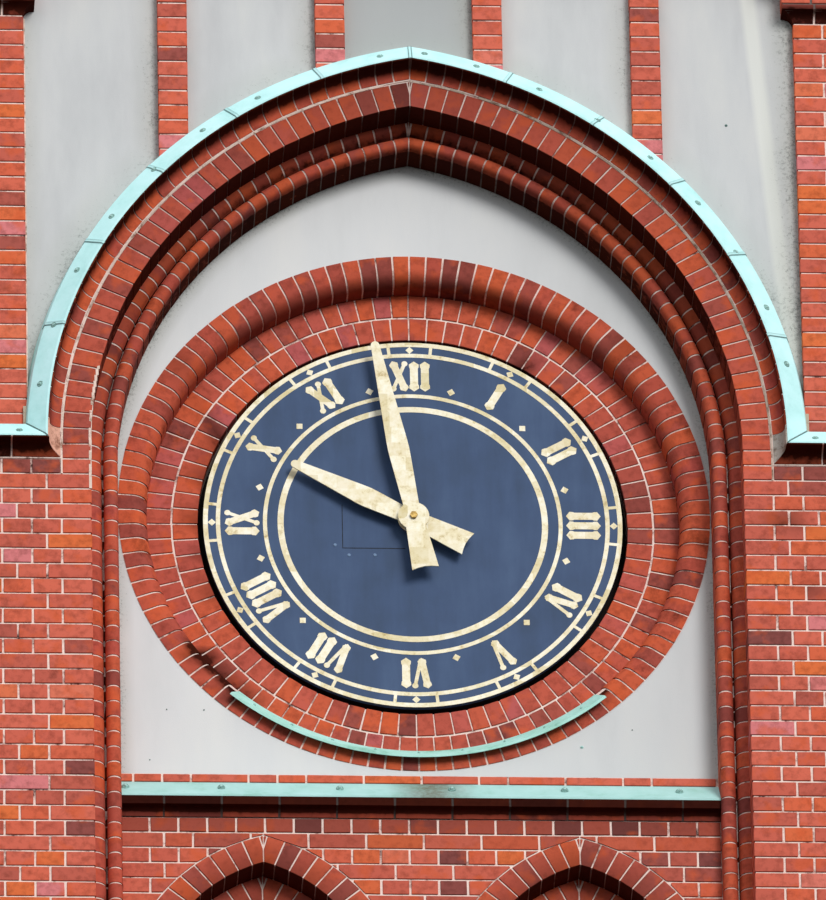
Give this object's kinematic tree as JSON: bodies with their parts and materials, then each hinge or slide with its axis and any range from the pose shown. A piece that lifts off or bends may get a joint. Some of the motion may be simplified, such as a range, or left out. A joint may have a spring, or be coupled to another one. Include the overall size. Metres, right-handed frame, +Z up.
{
  "type": "tower clock bay",
  "caption": "Brick-built clock bay of a tower: pointed recess in moulded orders, dial in a sunk brick ring, turning hands, plaster panels, copper weatherings.",
  "frame": {"origin": "middle of the base bed, halfway through the wall's thickness", "axes": "+X to the right seen from the front, +Y into the wall (the dial faces -Y), +Z up"},
  "size_m": [4.425, 1.007, 6.375],
  "materials": {
    "brick": "matt fired clay",
    "moulded_brick": "matt fired clay, darker",
    "plaster": "painted lime plaster",
    "copper_sheet": "green patina",
    "dial_blue": "satin paint",
    "gilding": "gold leaf",
    "bearing_brass": "turned, dull"
  },
  "bodies": {
    "tower_wall": {"base_wall": "brick", "tympanum_wall": "brick", "lancet_wall": "brick", "clock_wall": "brick", "left_wall": "brick", "right_wall": "brick", "upper_wall_left": "brick", "upper_wall_right": "brick", "left_pier": "brick", "right_pier": "brick", "impost_left": "brick", "impost_right": "brick", "closing_wall": "brick", "outer_order_left": "brick", "outer_order_right": "brick", "roll_order_left": "moulded_brick", "roll_order_right": "moulded_brick", "jamb_left": "moulded_brick", "jamb_right": "moulded_brick", "label_left": "brick", "label_right": "brick", "string_left": "brick", "string_right": "brick", "copper_left": "copper_sheet", "copper_right": "copper_sheet", "mullions": "brick", "panel_plaster": "plaster", "tympanum": "plaster", "ring_roll": "moulded_brick", "ring_flat": "brick", "ring_apron": "copper_sheet", "sill_mould": "moulded_brick", "sill_copper": "copper_sheet", "lancet_ring_left": "moulded_brick", "lancet_ring_right": "moulded_brick", "lancet_plaster": "plaster", "dial": "dial_blue", "dial_gilding": "gilding", "numerals": "gilding", "bearing_tube": "bearing_brass"},
    "hour": {"hour_pipe": "bearing_brass", "hour_hand": "gilding"},
    "minute": {"minute_arbor": "bearing_brass", "minute_hand": "gilding", "hand_nut": "bearing_brass"}
  },
  "joints": [
    {"name": "minute_turn", "type": "hinge", "parent": "tower_wall", "child": "minute", "pos_m": [0, 0, 3.6], "axis": [0, 1, 0], "continuous": true},
    {"name": "hour_turn", "type": "hinge", "parent": "tower_wall", "child": "hour", "pos_m": [0, 0, 3.6], "axis": [0, 1, 0], "continuous": true}
  ],
  "couplings": [
    {"joint": "hour_turn", "follows": "minute_turn", "ratio": 0.083333}
  ]
}
